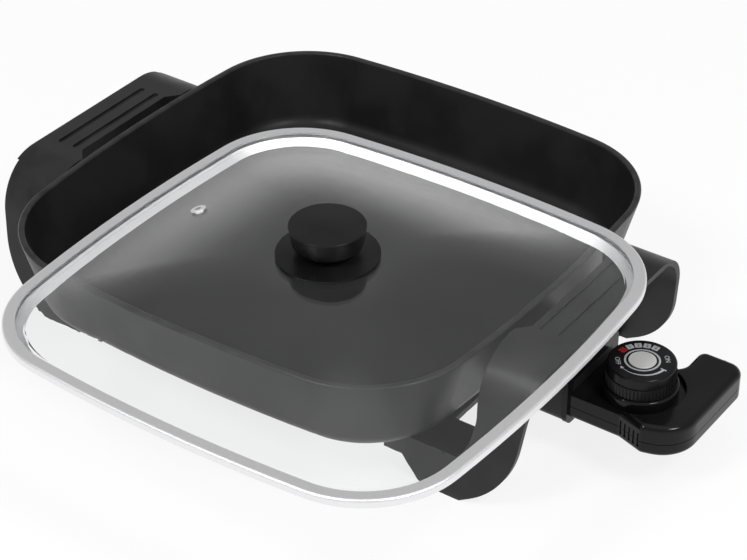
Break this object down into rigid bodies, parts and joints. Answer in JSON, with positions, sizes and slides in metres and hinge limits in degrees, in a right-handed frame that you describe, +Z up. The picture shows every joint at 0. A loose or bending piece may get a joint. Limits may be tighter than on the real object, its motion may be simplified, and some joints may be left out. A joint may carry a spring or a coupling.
{
  "type": "electric skillet",
  "caption": "Square electric skillet with a loose domed glass lid, arched handles that are also its legs, and a plug-in heat control with a turning dial.",
  "frame": {"origin": "on the table under the centre of the pan", "axes": "+Z up, +X from the pan's centre to the heat control, +Y to the back"},
  "size_m": [0.4295, 0.3784, 0.141],
  "materials": {
    "cast_aluminium_black": "dark non-stick coating",
    "element_sheath": "dull sheath",
    "plated_steel": "plated",
    "ceramic": "unglazed ceramic",
    "handle_plastic": "satin moulded phenolic",
    "screw_steel": "plain",
    "control_plastic": "glossy",
    "probe_steel": "drawn tube",
    "rubber_black": "matte",
    "brass": "plain",
    "lamp_glass": "clear amber",
    "dial_silver": "spun silver disc",
    "lid_glass": "clear",
    "band_steel": "polished"
  },
  "bodies": {
    "base": {"pan": "cast_aluminium_black", "heating_element": "element_sheath", "terminal_pins": "plated_steel", "terminal_beads": "ceramic", "handle_left": "handle_plastic", "handle_right": "handle_plastic", "handle_screws_left": "screw_steel", "handle_screws_right": "screw_steel", "socket_guard": "handle_plastic", "guard_screws": "screw_steel"},
    "control": {"control_top_shell": "control_plastic", "control_bottom_shell": "control_plastic", "control_flange": "control_plastic", "plug_block": "handle_plastic", "contact_sleeves": "plated_steel", "sensor_probe": "probe_steel", "housing_screws": "screw_steel", "cord_bushing": "rubber_black", "thermostat_base": "plated_steel", "contact_stack": "ceramic", "contact_arms": "brass", "pilot_lamp": "lamp_glass"},
    "dial": {"dial": "control_plastic", "dial_lens": "dial_silver", "dial_shaft": "brass"},
    "lid": {"lid_glass": "lid_glass", "lid_band": "band_steel", "lid_vent_grommet": "band_steel", "lid_knob_skirt": "handle_plastic", "lid_knob": "handle_plastic", "lid_knob_insert": "brass", "lid_washer": "rubber_black", "lid_screw": "screw_steel"}
  },
  "joints": [
    {"name": "lid_lift", "type": "slide", "parent": "base", "child": "lid", "axis": [0, 0, 1], "range_m": [0, 0.15]},
    {"name": "control_unplug", "type": "slide", "parent": "base", "child": "control", "axis": [1, 0, 0], "range_m": [0, 0.115]},
    {"name": "dial_turn", "type": "hinge", "parent": "control", "child": "dial", "pos_m": [0.2045, 0, 0.0486], "axis": [0, 0, 1], "range_deg": [-250, 0]}
  ]
}
